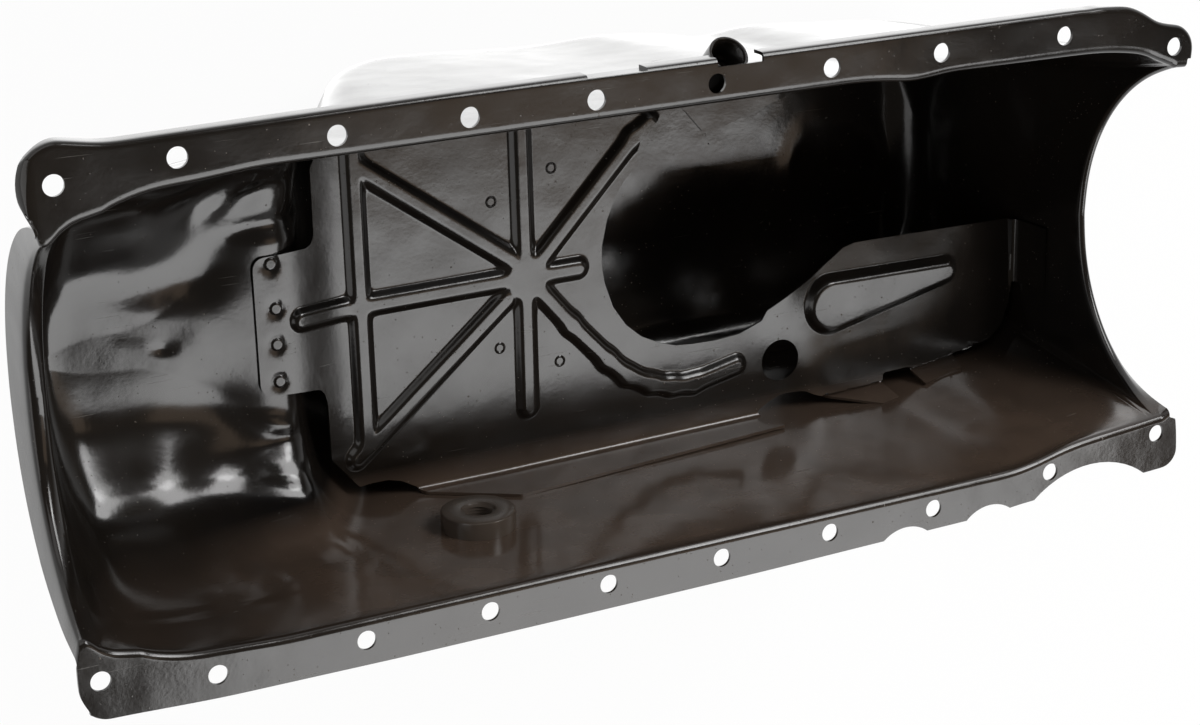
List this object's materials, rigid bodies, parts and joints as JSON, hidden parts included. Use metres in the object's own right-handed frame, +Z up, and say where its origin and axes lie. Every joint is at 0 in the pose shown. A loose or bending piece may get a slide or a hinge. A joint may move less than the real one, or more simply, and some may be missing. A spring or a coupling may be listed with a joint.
{
  "type": "engine oil pan",
  "caption": "Deep-sump sheet steel engine oil pan with bolt rails, windage tray, threaded drain boss and dipstick bung.",
  "frame": {"origin": "on the underside of the sump floor, on the centreline between the two rails, midway between the front and rear corner bolts", "axes": "+X from the front saddle to the rear saddle, +Y towards the rail that carries the dipstick bung, +Z up to the sealing rails"},
  "size_m": [0.6176, 0.27, 0.235],
  "materials": {
    "shell_coat": "satin black electrocoat on deep drawn steel",
    "tray_coat": "satin black electrocoat on pressed steel",
    "boss_coat": "gloss black electrocoat on turned steel",
    "bung_coat": "gloss black electrocoat on turned steel"
  },
  "bodies": {
    "root": {"pan_shell": "shell_coat", "windage_tray": "tray_coat", "drain_boss": "boss_coat", "dipstick_bung": "bung_coat"}
  },
  "joints": []
}
